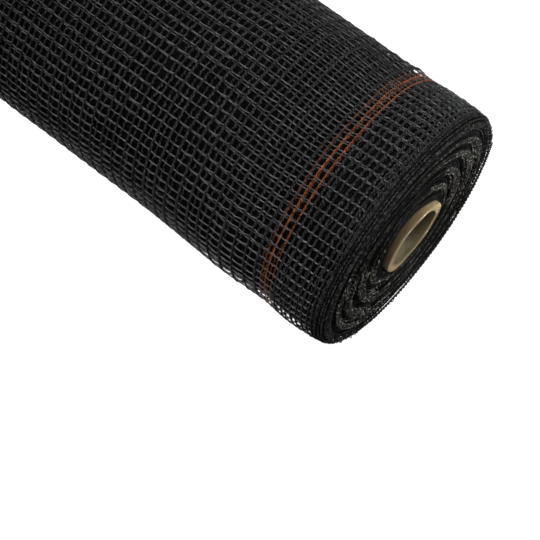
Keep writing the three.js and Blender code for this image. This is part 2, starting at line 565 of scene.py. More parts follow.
class StrandMaker:
    """Sweeps strands along paths with one geometry tree for each form of strand."""

    sizes: tuple[str, ...] = (
        "Width", "Neck", "Stitch", "Zigzag", "Flatness", "Ruffle", "Ruffle Length", "Seed")

    def __init__(self) -> None:
        """Build a tree for each form."""
        self.trees = {form: self.make_tree(form) for form in StrandForm}

    def add_sockets(self, tree: bpy.types.NodeTree) -> bpy.types.Node:
        """Give a tree its named inputs and its output.

        Args:
            tree: an empty geometry tree.

        Returns:
            The node that the inputs come from.
        """
        sockets = tree.interface
        sockets.new_socket("Paths", in_out="INPUT", socket_type="NodeSocketGeometry")
        for name in self.sizes:
            sockets.new_socket(name, in_out="INPUT", socket_type="NodeSocketFloat")
        sockets.new_socket("Sides", in_out="INPUT", socket_type="NodeSocketInt")
        sockets.new_socket("Finish", in_out="INPUT", socket_type="NodeSocketMaterial")
        sockets.new_socket("Strands", in_out="OUTPUT", socket_type="NodeSocketGeometry")
        return add_node(tree, "NodeGroupInput")

    def add_stitches(self, tree: bpy.types.NodeTree, inlet: bpy.types.Node, curve: bpy.types.NodeSocket,
                     radius: bpy.types.NodeSocket) -> tuple[bpy.types.NodeSocket, bpy.types.NodeSocket]:
        """Let a strand swing from side to side, thick at each loop and thin at each neck.

        Args:
            tree: the strand's tree.
            inlet: the node that the tree's inputs come from.
            curve: the plain paths.
            radius: half the width of a loop.

        Returns:
            The stitched paths, and the radius along them.
        """
        given = inlet.outputs
        half_stitch = add_node(tree, "ShaderNodeMath", {"operation": "MULTIPLY"}, {
            0: given["Stitch"], 1: 0.5})
        curve = add_node(tree, "GeometryNodeResampleCurve", {"mode": "LENGTH"}, {
            "Curve": curve, "Length": half_stitch.outputs["Value"]}).outputs["Curve"]
        order = add_node(tree, "GeometryNodeInputIndex")
        loop = add_node(tree, "ShaderNodeMath", {"operation": "MODULO"}, {
            0: order.outputs["Index"], 1: 2.0})
        half_neck = add_node(tree, "ShaderNodeMath", {"operation": "MULTIPLY"}, {
            0: given["Neck"], 1: 0.5})
        radius = add_node(tree, "ShaderNodeMapRange", {}, {
            "Value": loop.outputs["Value"], "To Min": half_neck.outputs["Value"],
            "To Max": radius}).outputs["Result"]
        one_side = add_node(tree, "ShaderNodeMath", {"operation": "MULTIPLY"}, {
            0: given["Zigzag"], 1: -0.5})
        other_side = add_node(tree, "ShaderNodeMath", {"operation": "MULTIPLY"}, {
            0: given["Zigzag"], 1: 0.5})
        aside = add_node(tree, "ShaderNodeMapRange", {}, {
            "Value": loop.outputs["Value"], "To Min": one_side.outputs["Value"],
            "To Max": other_side.outputs["Value"]})
        length = add_node(tree, "GeometryNodeSplineParameter")
        curve = add_node(tree, "GeometryNodeStoreNamedAttribute", {}, {
            "Geometry": curve, "Name": "along", "Value": length.outputs["Length"]}).outputs["Geometry"]
        point = add_node(tree, "GeometryNodeInputPosition")
        part = add_node(tree, "ShaderNodeSeparateXYZ", {}, {"Vector": point.outputs["Position"]})
        curve = add_node(tree, "GeometryNodeStoreNamedAttribute", {}, {
            "Geometry": curve, "Name": "middle", "Value": part.outputs["X"]}).outputs["Geometry"]
        legs = add_node(tree, "ShaderNodeCombineXYZ", {}, {"X": aside.outputs["Result"]})
        curve = add_node(tree, "GeometryNodeSetPosition", {}, {
            "Geometry": curve, "Offset": legs.outputs["Vector"]}).outputs["Geometry"]
        return curve, radius

    def add_ruffle(self, tree: bpy.types.NodeTree, inlet: bpy.types.Node,
                   curve: bpy.types.NodeSocket) -> bpy.types.NodeSocket:
        """Unsettle paths a little, as handled yarn is.

        Args:
            tree: the strand's tree.
            inlet: the node that the tree's inputs come from.
            curve: the even paths.

        Returns:
            The ruffled paths.
        """
        given = inlet.outputs
        place = add_node(tree, "GeometryNodeInputPosition")
        fineness = add_node(tree, "ShaderNodeMath", {"operation": "DIVIDE"}, {
            0: 1.0, 1: given["Ruffle Length"]})
        noise = add_node(tree, "ShaderNodeTexNoise", {"noise_dimensions": "4D"}, {
            "Vector": place.outputs["Position"], "W": given["Seed"], "Scale": fineness.outputs["Value"]})
        centred = add_node(tree, "ShaderNodeVectorMath", {"operation": "SUBTRACT"}, {
            0: noise.outputs["Color"], 1: (0.5, 0.5, 0.5)})
        offset = add_node(tree, "ShaderNodeVectorMath", {"operation": "SCALE"}, {
            0: centred.outputs["Vector"], "Scale": given["Ruffle"]})
        return add_node(tree, "GeometryNodeSetPosition", {}, {
            "Geometry": curve, "Offset": offset.outputs["Vector"]}).outputs["Geometry"]

    def make_tree(self, form: StrandForm) -> bpy.types.GeometryNodeTree:
        """Build the tree that sweeps one form of strand.

        Args:
            form: knitted chain or plain strand.

        Returns:
            The tree, with named inputs for its sizes.
        """
        tree = bpy.data.node_groups.new(form.value, "GeometryNodeTree")
        inlet = self.add_sockets(tree)
        given = inlet.outputs
        curve = add_node(tree, "GeometryNodeMeshToCurve", {}, {"Mesh": given["Paths"]}).outputs["Curve"]
        radius = add_node(tree, "ShaderNodeMath", {"operation": "MULTIPLY"}, {
            0: given["Width"], 1: 0.5}).outputs["Value"]
        if form is StrandForm.KNIT_CHAIN:
            curve, radius = self.add_stitches(tree, inlet, curve, radius)
        curve = self.add_ruffle(tree, inlet, curve)
        circle = add_node(tree, "GeometryNodeCurvePrimitiveCircle", {}, {
            "Resolution": given["Sides"], "Radius": 1.0})
        flattening = add_node(tree, "ShaderNodeCombineXYZ", {}, {
            "X": 1.0, "Y": given["Flatness"], "Z": 1.0})
        section = add_node(tree, "GeometryNodeTransform", {}, {
            "Geometry": circle.outputs["Curve"], "Scale": flattening.outputs["Vector"]})
        swept = add_node(tree, "GeometryNodeCurveToMesh", {}, {
            "Curve": curve, "Profile Curve": section.outputs["Geometry"], "Scale": radius,
            "Fill Caps": True})
        smooth = add_node(tree, "GeometryNodeSetShadeSmooth", {}, {"Geometry": swept.outputs["Mesh"]})
        real = add_node(tree, "GeometryNodeRealizeInstances", {}, {"Geometry": smooth.outputs["Geometry"]})
        dressed = add_node(tree, "GeometryNodeSetMaterial", {}, {
            "Geometry": real.outputs["Geometry"], "Material": given["Finish"]})
        add_node(tree, "NodeGroupOutput", {}, {"Strands": dressed.outputs["Geometry"]})
        return tree

    def sweep(self, name: str, paths: Array, strand: Strand, finish: bpy.types.Material) -> None:
        """Sweep strands along paths and place them as one piece.

        Args:
            name: the piece's name.
            paths: points in metres, by path, then along each path.
            strand: the strand's sizes.
            finish: its material.
        """
        count, length = paths.shape[:2]
        index = np.arange(count * length).reshape(count, length)
        edges = np.stack([index[:, :-1], index[:, 1:]], axis=-1).reshape(-1, 2)
        lines = bpy.data.meshes.new(name + "_paths")
        lines.from_pydata(paths.reshape(-1, 3).tolist(), edges.tolist(), [])
        carrier = bpy.data.objects.new(name + "_paths", lines)
        bpy.context.scene.collection.objects.link(carrier)
        modifier = carrier.modifiers.new("sweep", "NODES")
        modifier.node_group = self.trees[strand.form]
        values = {
            "Width": strand.width * MM, "Neck": strand.neck * MM, "Stitch": strand.stitch * MM,
            "Zigzag": strand.zigzag * MM, "Flatness": strand.flatness, "Ruffle": strand.ruffle * MM,
            "Ruffle Length": strand.ruffle_length * MM, "Seed": float(strand.seed),
            "Sides": strand.sides, "Finish": finish,
        }
        for socket in modifier.node_group.interface.items_tree:
            if socket.name in values:
                modifier[socket.identifier] = values[socket.name]
        graph = bpy.context.evaluated_depsgraph_get()
        mesh = bpy.data.meshes.new_from_object(carrier.evaluated_get(graph), depsgraph=graph)
        mesh.name = name
        bpy.data.objects.remove(carrier)
        bpy.data.meshes.remove(lines)
        place_piece(name, mesh)


# Netting on the outside


@dataclass(frozen=True)
class Drift:
    """How far sideways the netting has wandered, by turns wound back from its free edge."""

    turns: float
    shift: float


@dataclass(frozen=True)
class Slant:
    """How far round the roll a crosswise strand beneath the outermost turn has slipped, by inset."""

    inset: float
    shift: float


@dataclass(frozen=True)
class WeftCourse:
    """How the crosswise strands run through the chains, and how unevenly."""

    half_chain: float = 0.8
    step: float = 0.2
    sag: float = 0.3
    bulge: float = 0.2
    border_height: float = -0.1
    field_height: float = -0.35
    border_margin: float = 1.0
    knots: int = 36
    wobble: float = 0.2
    spacing: float = 0.14
    drawn: Span = Span(0.3, 1.2)
    kink: float = 0.1
    kink_beneath: float = 0.15
    sunk: float = 1.2
    sunk_length: float = 11.0
    lowest: float = 0.75
    slants: tuple[Slant, ...] = (
        Slant(0.0, 0.8), Slant(8.0, 0.8), Slant(16.0, -1.2), Slant(38.0, -1.2), Slant(55.0, 1.2),
        Slant(78.0, 1.2), Slant(125.0, -1.0), Slant(250.0, 0.6), Slant(500.0, -0.6),
    )


@dataclass(frozen=True)
class EdgeLoops:
    """Small loops in which the monofilament turns back at the netting's edge, longest low down."""

    points: int = 9
    least: float = 0.3
    gain: float = 2.9
    steepness: int = 3
    spread: Span = Span(0.2, 1.2)
    rise: float = 3.4
    fall: float = 1.2
    high_share: float = 0.2
    low_share: float = 0.8
    sunk: float = 0.4
    lowest: float = 0.5


@dataclass
class OuterTurns:
    """The outermost turns of netting: knitted chains round the roll and monofilament along it."""

    form: WoundForm
    maker: StrandMaker
    # Where the chains lie across the netting
    chain_pitch: float = 8.55
    marker_pitch: float = 4.2
    marker_inset: float = 47.0
    marker_count: int = 3
    marker_gap: float = 0.9
    marker_depth: float = -0.5
    border_pitch: float = 4.03
    border_inset: float = 35.1
    border_count: int = 9
    # How the netting lies on the roll
    knitted_turns: int = 3
    wefts_round: float = 77.25
    mean_radius: float = 81.0
    depth: float = 0.6
    squeeze: float = 16.0
    overshoot: float = 1.5
    tuck: float = 1.6
    tuck_length: float = 8.0
    loose_turns: float = 1.1
    loose_fade: float = 6.0
    # How the chains sway
    samples: int = 120
    sway: float = 0.3
    sway_waves: float = 3.0
    sway_shift: float = 0.9
    stray: float = 0.3
    stray_knots: int = 25
    chain_lowest: float = 1.1
    # How the crosswise strands bow
    long_wave: Wave = Wave(height=0.9, length=330.0)
    long_phase: float = 0.8
    short_wave: Wave = Wave(height=0.35, length=118.0)
    short_turns: float = 2.0
    edge_pull: float = 0.5
    tilt_inset: float = 85.0
    tilt_length: float = 38.0
    tilt_angle: float = math.radians(115.0)
    tilt_least: float = 1.0
    tilt_gain: float = 5.3
    tilt_most: float = 4.5
    course: WeftCourse = WeftCourse()
    loops: EdgeLoops = EdgeLoops()
    seed: int = 11
    drifts: tuple[Drift, ...] = (
        Drift(0.0, 0.0), Drift(0.39, 0.2), Drift(0.46, 0.4), Drift(0.55, 0.0), Drift(0.61, -0.2),
        Drift(0.69, -1.8), Drift(0.85, -0.8), Drift(1.0, 0.0), Drift(1.36, 1.0), Drift(1.46, 3.8),
        Drift(1.51, 4.5), Drift(1.6, 4.1), Drift(1.7, 2.4), Drift(2.0, 1.0), Drift(2.3, -2.0),
        Drift(2.5, 0.3), Drift(2.65, 0.0), Drift(2.8, -1.5), Drift(3.0, 0.0),
    )

    def __post_init__(self) -> None:
        """Work out where each chain lies across the netting."""
        markers = self.form.edge - self.marker_inset + self.marker_pitch * np.arange(self.marker_count)
        edging = self.form.edge - self.border_inset + self.border_pitch * np.arange(self.border_count)
        field_half = self.form.edge - self.marker_inset - self.marker_gap * self.marker_pitch
        count = round(2.0 * field_half / self.chain_pitch) + 1
        self.markers = np.concatenate([-markers[::-1], markers])
        self.field = np.linspace(-field_half, field_half, count)
        self.border = np.concatenate([-edging[::-1], edging])
        self.chains = np.concatenate([self.field, self.border])
        self.all_places = np.sort(np.concatenate([self.markers, self.chains]))
        self.random = np.random.default_rng(self.seed)

    def sideways(self, x: Array, wound: Array) -> Array:
        """Move places across the netting by its drift, squeezed together at the netting's edges.

        Args:
            x: place across the netting.
            wound: radians wound back from the free edge.

        Returns:
            The place along the roll.
        """
        turns = [drift.turns for drift in self.drifts]
        shifts = [drift.shift for drift in self.drifts]
        moved = x + np.interp(wound / TURN, turns, shifts)
        limit = self.form.edge + self.overshoot
        over = np.maximum(np.abs(moved) - (limit - self.squeeze), 0.0)
        inside = np.minimum(np.abs(moved), limit - self.squeeze)
        return np.sign(moved) * (inside + self.squeeze * (1.0 - np.exp(-over / self.squeeze)))

    def lay(self, x: Array, wound: Array, raised: Array, lowest: float) -> Array:
        """Lay places of the flat netting onto the roll.

        Args:
            x: place across the netting.
            wound: radians wound back from the free edge.
            raised: height over the middle of the netting's thickness.
            lowest: height above the floor that no point goes under.

        Returns:
            Points in metres.
        """
        along = self.sideways(x, wound)
        angle = self.form.free_edge - wound
        radius = self.form.netting_radius(along, wound)
        outermost = np.clip(self.loose_fade * (self.loose_turns - wound / TURN), 0.0, 1.0)
        lift = self.form.slack(along, angle) * (outermost - 1.0 + self.form.raised_share)
        tuck = self.tuck * np.exp(-((self.form.edge - np.abs(along)) / self.tuck_length) ** 2)
        return self.form.points(along, radius - self.depth + raised + lift - tuck, angle, lowest)

    def chain_paths(self, places: Array, turn: int, raised: float = 0.0) -> Array:
        """Paths of chains round the roll, for one turn.

        Args:
            places: where the chains lie across the netting.
            turn: counted inwards from the outermost.
            raised: height over the middle of the netting's thickness.

        Returns:
            Points in metres, by chain, then along it.
        """
        wound = TURN * (turn + np.linspace(0.0, 1.0, self.samples + 1))
        waves = self.sway_waves * wound[None, :] + self.sway_shift * places[:, None]
        knots = TURN * (turn + np.linspace(0.0, 1.0, self.stray_knots))
        strays = self.random.normal(0.0, self.stray, (len(places), len(knots)))
        sway = self.sway * np.sin(waves) + np.array([np.interp(wound, knots, row) for row in strays])
        return self.lay(places[:, None] + sway, wound[None, :], np.full(1, raised), self.chain_lowest)

    def weft_wound(self, turn: int) -> Array:
        """Radians wound back at each crosswise strand of one turn.

        Args:
            turn: counted inwards from the outermost.

        Returns:
            The radians, one for each strand.
        """
        first = math.ceil(turn * self.wefts_round)
        last = math.ceil((turn + 1) * self.wefts_round)
        return TURN * (np.arange(first, last) + 0.5) / self.wefts_round

    def bow(self, x: Array, angle: Array) -> Array:
        """How far a crosswise strand strays round the roll.

        Args:
            x: place across the netting.
            angle: radians round the roll.

        Returns:
            The distance round the roll.
        """
        to_edge = np.maximum(np.abs(x) - (self.form.edge - self.marker_inset), 0.0) / self.marker_inset
        long_wave = self.long_wave.at(x, self.long_phase)
        short_wave = self.short_wave.at(x, self.short_turns * angle)
        to_markers = np.clip((np.abs(x) - self.form.edge + self.tilt_inset) / self.tilt_length, 0.0, 1.0)
        tilt = self.tilt_least + self.tilt_gain * (1.0 - np.cos(angle - self.tilt_angle))
        tilt = np.minimum(tilt, self.tilt_most)
        return long_wave + short_wave - self.edge_pull * to_edge**2 + tilt * to_markers

    def weft_paths(self, turn: int, stepped: bool) -> Array:
        """Paths of the crosswise strands of one turn.

        Args:
            turn: counted inwards from the outermost.
            stepped: whether a strand dips and steps aside at each chain, or runs plainly.

        Returns:
            Points in metres, by strand, then along it.
        """
        course = self.course
        wound = self.weft_wound(turn)[:, None]
        places = self.all_places
        if stepped:
            middles = (places[:-1] + places[1:]) / 2.0
            in_border = self.form.edge - np.abs(places) < self.border_inset + course.border_margin
            under = np.where(in_border, course.border_height, course.field_height)
            steps = np.full(places.shape, course.step)
            x = np.concatenate([places - course.half_chain, places + course.half_chain, middles])
            stray = np.concatenate([-steps, steps, np.full(middles.shape, course.sag)])
            raised = np.concatenate([under, under, np.full(middles.shape, course.bulge)])
            order = np.argsort(x)
            x, stray, raised = x[order], stray[order], raised[order]
        else:
            x = places
            stray = np.zeros(x.shape)
            raised = np.zeros(x.shape)
        knots = np.linspace(-self.form.edge, self.form.edge, course.knots)
        wobble = self.random.normal(0.0, course.wobble, (len(wound), len(knots)))
        wobble = np.array([np.interp(x, knots, row) for row in wobble])
        spacing = self.random.normal(0.0, course.spacing, (len(wound), 1))
        insets = [slant.inset for slant in course.slants]
        shifts = [slant.shift for slant in course.slants]
        slant = turn * np.interp(self.form.edge - np.abs(x), insets, shifts)
        drawn = course.drawn.draw(self.random, (len(wound), len(x)))
        angle = self.form.free_edge - wound
        kinks = self.random.normal(0.0, course.kink + course.kink_beneath * turn, (len(wound), len(x)))
        stray = (stray + kinks + wobble + spacing + slant + self.bow(x, angle)) / self.mean_radius
        sunk = course.sunk * np.exp(-((self.form.edge - np.abs(x)) / course.sunk_length) ** 2)
        return self.lay(x[None, :], wound - stray, raised * drawn - sunk, course.lowest)

    def loop_paths(self, turn: int, end: RollEnd) -> Array:
        """Paths of the small loops in which the monofilament turns back at the netting's edge.

        Args:
            turn: counted inwards from the outermost.
            end: which end of the roll.

        Returns:
            Points in metres, by loop, then along it.
        """
        loops = self.loops
        wound = self.weft_wound(turn)
        first = 0 if end is RollEnd.NEAR else 1
        starts = wound[first:-1:2]
        stops = wound[first + 1::2][:len(starts)]
        share = np.linspace(0.0, 1.0, loops.points)
        arch = np.sin(math.pi * share)[None, :]
        turning = starts[:, None] + (stops - starts)[:, None] * (0.5 - 0.5 * np.cos(math.pi * share))
        low_side = 0.5 - 0.5 * np.sin(self.form.free_edge - starts)[:, None]
        longest = loops.least + loops.gain * low_side**loops.steepness
        reach = longest * arch * loops.spread.draw(self.random, (len(starts), 1)) ** 2
        x = self.all_places[-1] * np.ones(turning.shape)
        turning = turning - self.bow(x, self.form.free_edge - turning) / self.mean_radius
        base = self.sideways(end.value * x, turning)
        rise = loops.rise * self.random.uniform(0.0, 1.0, (len(starts), 1)) ** 2 - loops.fall
        droop = rise * (loops.high_share + loops.low_share * low_side) * arch - loops.sunk
        radius = self.form.netting_radius(base, turning) - self.depth - self.tuck + droop
        angle = self.form.free_edge - turning
        return self.form.points(base + end.value * reach, radius, angle, loops.lowest)

    def build(self) -> None:
        """Knit the turns that show, the outermost in most detail."""
        black_chain = CHAIN_FINISH.material()
        black_weft = WEFT_FINISH.material()
        orange_chain = MARKER_FINISH.material()
        black_painted_shade = SHADED_CHAIN_FINISH.material()
        weft_painted_shade = SHADED_WEFT_FINISH.material()
        orange_painted_shade = SHADED_MARKER_FINISH.material()
        black_painted_deep_shade = DEEP_SHADE_CHAIN_FINISH.material()
        near = self.field[self.field > 0.0]
        far = self.field[self.field <= 0.0]
        self.maker.sweep("outer_chains_near", self.chain_paths(near, 0), OUTER_CHAIN, black_chain)
        self.maker.sweep("outer_chains_far", self.chain_paths(far, 0), OUTER_CHAIN, black_chain)
        self.maker.sweep("border_chains", self.chain_paths(self.border, 0), BORDER_CHAIN, black_chain)
        self.maker.sweep("outer_wefts", self.weft_paths(0, stepped=True), MONOFILAMENT, black_weft)
        self.maker.sweep("second_chains", self.chain_paths(self.chains, 1), SECOND_CHAIN, black_painted_shade)
        self.maker.sweep("second_wefts", self.weft_paths(1, stepped=False), MONOFILAMENT, weft_painted_shade)
        # The third turn takes the near-black finish: painted shade.
        self.maker.sweep("third_chains", self.chain_paths(self.chains, 2), THIRD_CHAIN, black_painted_deep_shade)
        # The marker chain next to the field is sunk between its neighbours. The one nearest the
        # netting's edge hides its own turns beneath, so those are left out.
        from_field = np.abs(self.markers) - self.form.edge + self.marker_inset
        order = np.rint(from_field / self.marker_pitch)
        raised = self.markers[order >= 1]
        sunken = self.markers[order < 1]
        beneath = self.markers[order < self.marker_count - 1]
        self.maker.sweep("outer_markers", self.chain_paths(raised, 0), MARKER_CHAIN, orange_chain)
        # The sunk marker chain and the turns beneath take the darker orange finish: painted shade.
        inside = [self.chain_paths(sunken, 0, self.marker_depth)]
        inside += [self.chain_paths(beneath, turn) for turn in range(1, self.knitted_turns)]
        self.maker.sweep("inner_markers", np.concatenate(inside), INNER_MARKER_CHAIN, orange_painted_shade)
        # The edge loops take the darker monofilament finish: painted shade.
        for end in RollEnd:
            loops = np.concatenate([self.loop_paths(turn, end) for turn in range(self.knitted_turns)])
            self.maker.sweep(f"edge_loops_{end.name.lower()}", loops, MONOFILAMENT, weft_painted_shade)


# Netting on the end faces


@dataclass(frozen=True)
class ShoulderRing:
    """A turn's edge on the rounded shoulder: how far in from the end and under the outside it is."""

    inset: float
    sunk: float


@dataclass(frozen=True)
class CollarRing:
    """One of the innermost turns' edges: its distance from the core, and its reach past the end."""

    gap: float
    reach: float


@dataclass(frozen=True)
class HatchStrands:
    """Monofilament across each ridge: its spacing, its length, its slant and how high it stands."""

    pitch: float = 4.6
    half: float = 3.4
    points: int = 8
    place: Span = Span(0.0, 0.8)
    length: Span = Span(0.5, 1.1)
    off_crest: float = 0.9
    slant: float = 1.1
    lift: Span = Span(0.1, 0.8)
    clear: float = 0.25


@dataclass(frozen=True)
class StrayLoops:
    """Small loops that stand out of every other turn's edge here and there."""

    pitch: float = 26.0
    core_gap: float = 3.0
    turns_apart: float = 2.0
    points: int = 8
    place: Span = Span(0.0, 1.0)
    width: Span = Span(0.6, 1.8)
    height: Span = Span(0.3, 1.0)
    slant: float = 1.6
    sunk: float = 0.35


@dataclass(frozen=True)
class FringeLoops:
    """Loops that stand off the outermost ridge, mostly low down, and lie further in high up."""

    pitch: float = 5.2
    inset: float = 1.2
    points: int = 8
    place: Span = Span(0.0, 0.7)
    high_share: float = 0.2
    half: Span = Span(0.8, 2.6)
    off_rim: Span = Span(-2.4, 1.0)
    high_inset: float = 2.0
    least: float = 0.1
    gain: float = 1.2
    lean: float = 0.8


@dataclass
class EndTurns:
    """The edges of all the turns, which bunch into ridges on the end faces."""

    form: WoundForm
    maker: StrandMaker
    # The spiral of edges
    turn_pitch: float = 1.15
    core_gap: float = 1.2
    outer_radius: float = 78.6
    rim_radius: float = 72.0
    groove_depth: float = -2.3
    stand_out: float = 0.7
    slow_knots: int = 7
    quick_knots: int = 18
    slow_sway: float = 0.18
    slow_lift: float = 0.3
    quick_lift: float = 0.2
    samples: int = 104
    lowest: float = 0.5
    # The two opposite sectors painted pale: painted light on the lobes there
    painted_light_start: float = math.radians(-18.0)
    painted_light_span: float = math.radians(74.0)
    painted_light_jitter: float = math.radians(12.0)
    # The shoulder, with rings that show and dark ones between them. The dark ones take the near-black
    # finish: painted shade.
    shown_rings: tuple[ShoulderRing, ...] = (
        ShoulderRing(0.4, 0.5), ShoulderRing(1.8, 0.6), ShoulderRing(3.4, 0.8), ShoulderRing(5.2, 1.1),
    )
    dark_rings: tuple[ShoulderRing, ...] = (
        ShoulderRing(1.1, 1.8), ShoulderRing(2.6, 2.0), ShoulderRing(4.3, 2.3),
    )
    shoulder_sway: float = 0.12
    shoulder_lift: float = 0.12
    shoulder_sway_knots: int = 11
    shoulder_lift_knots: int = 20
    shoulder_lowest: float = 1.1
    # The turns that stand up round the core
    collar: tuple[CollarRing, ...] = (
        CollarRing(1.0, -4.6), CollarRing(2.1, -4.2), CollarRing(3.2, -3.6), CollarRing(1.5, -3.0),
        CollarRing(2.7, -2.5), CollarRing(4.1, -1.9), CollarRing(5.4, -1.3), CollarRing(0.9, -1.2),
        CollarRing(1.8, -0.8), CollarRing(2.7, -0.4), CollarRing(3.7, -0.1), CollarRing(4.8, 0.1),
        CollarRing(6.0, 0.1),
    )
    collar_lift: float = 2.2
    collar_high: float = math.radians(48.0)
    collar_spread: float = math.radians(34.0)
    collar_reach_sway: float = 0.3
    collar_reach_knots: int = 6
    collar_sway: float = 0.2
    collar_knots: int = 9
    # Strands over the edges
    hatch: HatchStrands = HatchStrands()
    strays: StrayLoops = StrayLoops()
    fringe: FringeLoops = FringeLoops()
    seed: int = 23

    def __post_init__(self) -> None:
        """Start the random numbers."""
        self.random = np.random.default_rng(self.seed)

    def spiral(self, turns: int) -> Array:
        """Turns wound along the spiral, by turn and sample."""
        return np.arange(turns)[:, None] + np.linspace(0.0, 1.0, self.samples + 1)[None, :]

    def circles(self, count: int) -> Array:
        """Angles round a number of closed rings, by ring and sample."""
        return TURN * np.linspace(0.0, 1.0, self.samples + 1)[None, :] * np.ones((count, 1))

    def wander(self, turns: int, knots_per_turn: int) -> Array:
        """Draw smooth random numbers along the spiral of turns.

        Args:
            turns: how many turns.
            knots_per_turn: how many fresh numbers each turn has.

        Returns:
            The numbers, by turn and sample.
        """
        knots = self.random.normal(0.0, 1.0, turns * knots_per_turn + 1)
        return np.interp(self.spiral(turns) * knots_per_turn, np.arange(len(knots)), knots)

    def turn_paths(self, end: RollEnd) -> tuple[Array, Array, Array, Array]:
        """Paths of the turns' edges on an end face.

        Args:
            end: which end of the roll.

        Returns:
            Paths on the outermost ridge, on the other ridges in the sectors painted light and in those
            painted shade, and in the grooves.
        """
        inner = self.form.core_radius + self.core_gap
        turns = int((self.outer_radius - inner) / self.turn_pitch)
        share = self.spiral(turns)
        angle = TURN * share + self.painted_light_start + self.random.normal(0.0, self.painted_light_jitter, (turns, 1))
        slow = self.wander(turns, self.slow_knots)
        quick = self.wander(turns, self.quick_knots)
        radius = inner + self.turn_pitch * share + self.slow_sway * slow
        surface = self.form.faces[end].at(radius, angle)
        reach = surface + self.stand_out + self.slow_lift * slow + self.quick_lift * quick
        paths = self.form.points(end.value * (self.form.edge + reach), radius, angle, self.lowest)
        deep = surface.mean(axis=1) < self.groove_depth
        outermost = radius.mean(axis=1) > self.rim_radius
        ridges = paths[~outermost & ~deep]
        # The other ridges split into the two sectors painted light and the two sectors of painted shade
        # between them.
        half = self.samples // 2
        pale = round(self.samples * self.painted_light_span / TURN)
        painted_light = [ridges[:, start:start + pale + 1] for start in (0, half)]
        painted_shade = [ridges[:, start + pale:start + half + 1] for start in (0, half)]
        return paths[outermost & ~deep], np.concatenate(painted_light), np.concatenate(painted_shade), paths[deep]

    def painted_light(self, angle: Array) -> Array:
        """Whether places round an end face lie in its two sectors painted light."""
        return np.mod(angle - self.painted_light_start, TURN / 2.0) < self.painted_light_span

    def shoulder_paths(self, end: RollEnd) -> Array:
        """Paths of the turns' edges over the rounded shoulder, where each turn steps back a little.

        Args:
            end: which end of the roll.

        Returns:
            Points in metres, by ring, then round it, the rings that show before the dark ones.
        """
        rings = self.shown_rings + self.dark_rings
        insets = np.array([ring.inset for ring in rings])[:, None]
        sunk = np.array([ring.sunk for ring in rings])[:, None]
        angle = self.circles(len(rings))
        inset = insets + self.shoulder_sway * self.wander(len(rings), self.shoulder_sway_knots)
        x = end.value * (self.form.edge - inset)
        radius = self.form.outside.at(x, angle) + self.form.lap * (self.form.turned(angle) - 0.5)
        lift = self.shoulder_lift * self.wander(len(rings), self.shoulder_lift_knots)
        return self.form.points(x, radius - sunk + lift, angle, self.shoulder_lowest)

    def hatch_paths(self, end: RollEnd) -> Array:
        """Paths of the monofilament over each ridge from groove to groove, in the sectors painted light.

        Args:
            end: which end of the roll.

        Returns:
            Points in metres, by strand, then along it.
        """
        hatch = self.hatch
        face = self.form.faces[end]
        level = face.values.mean(axis=1)
        peaks = np.flatnonzero((level[1:-1] > level[:-2]) & (level[1:-1] >= level[2:])) + 1
        share = np.linspace(-1.0, 1.0, hatch.points)[None, :]
        paths = []
        for crest in face.rows[peaks]:
            count = int(TURN * crest / hatch.pitch)
            angle = TURN * (np.arange(count) + hatch.place.draw(self.random, count)) / count
            angle = angle[self.painted_light(angle)]
            count = len(angle)
            half = hatch.half * hatch.length.draw(self.random, (count, 1))
            middle = crest + self.random.normal(0.0, hatch.off_crest, (count, 1))
            half = np.minimum(half, self.outer_radius - middle)
            slant = self.random.normal(0.0, hatch.slant, (count, 1)) / crest
            across = middle + half * share
            turned = angle[:, None] + slant * share
            lift = hatch.lift.draw(self.random, (count, 1)) * (1.0 - share**2)
            reach = face.at(across, turned) + self.stand_out + hatch.clear + lift
            x = end.value * (self.form.edge + reach)
            paths.append(self.form.points(x, across, turned, self.lowest))
        return np.concatenate(paths)

    def stray_paths(self, end: RollEnd) -> Array:
        """Paths of the small loops that stand out of the turns' edges in the sectors painted light.

        Args:
            end: which end of the roll.

        Returns:
            Points in metres, by loop, then along it.
        """
        strays = self.strays
        share = np.linspace(-1.0, 1.0, strays.points)[None, :]
        innermost = self.form.core_radius + strays.core_gap
        paths = []
        for radius in np.arange(innermost, self.outer_radius, strays.turns_apart * self.turn_pitch):
            count = int(TURN * radius / strays.pitch)
            angle = TURN * (np.arange(count) + strays.place.draw(self.random, count)) / count
            angle = angle[self.painted_light(angle)]
            count = len(angle)
            width = strays.width.draw(self.random, (count, 1))
            height = strays.height.draw(self.random, (count, 1))
            slant = self.random.normal(0.0, strays.slant, (count, 1)) / radius
            across = radius + width * share
            turned = angle[:, None] + slant * share
            reach = self.form.faces[end].at(across, turned) + height * (1.0 - share**2) - strays.sunk
            x = end.value * (self.form.edge + reach)
            paths.append(self.form.points(x, across, turned, self.lowest))
        return np.concatenate(paths)

    def collar_paths(self, end: RollEnd) -> Array:
        """Paths of the innermost turns, which stand up round the core.

        Args:
            end: which end of the roll.

        Returns:
            Points in metres, by ring, then round it.
        """
        count = len(self.collar)
        radii = self.form.core_radius + np.array([ring.gap for ring in self.collar])[:, None]
        reach = np.array([ring.reach for ring in self.collar])[:, None]
        angle = self.circles(count)
        off_high = np.mod(angle - self.collar_high + math.pi, TURN) - math.pi
        lift = self.collar_lift * np.exp(-(off_high / self.collar_spread) ** 2)
        uneven = self.collar_reach_sway * self.wander(count, self.collar_reach_knots)
        x = end.value * (self.form.edge + reach + lift + uneven)
        sway = self.collar_sway * self.wander(count, self.collar_knots)
        return self.form.points(x, radii + sway, angle)

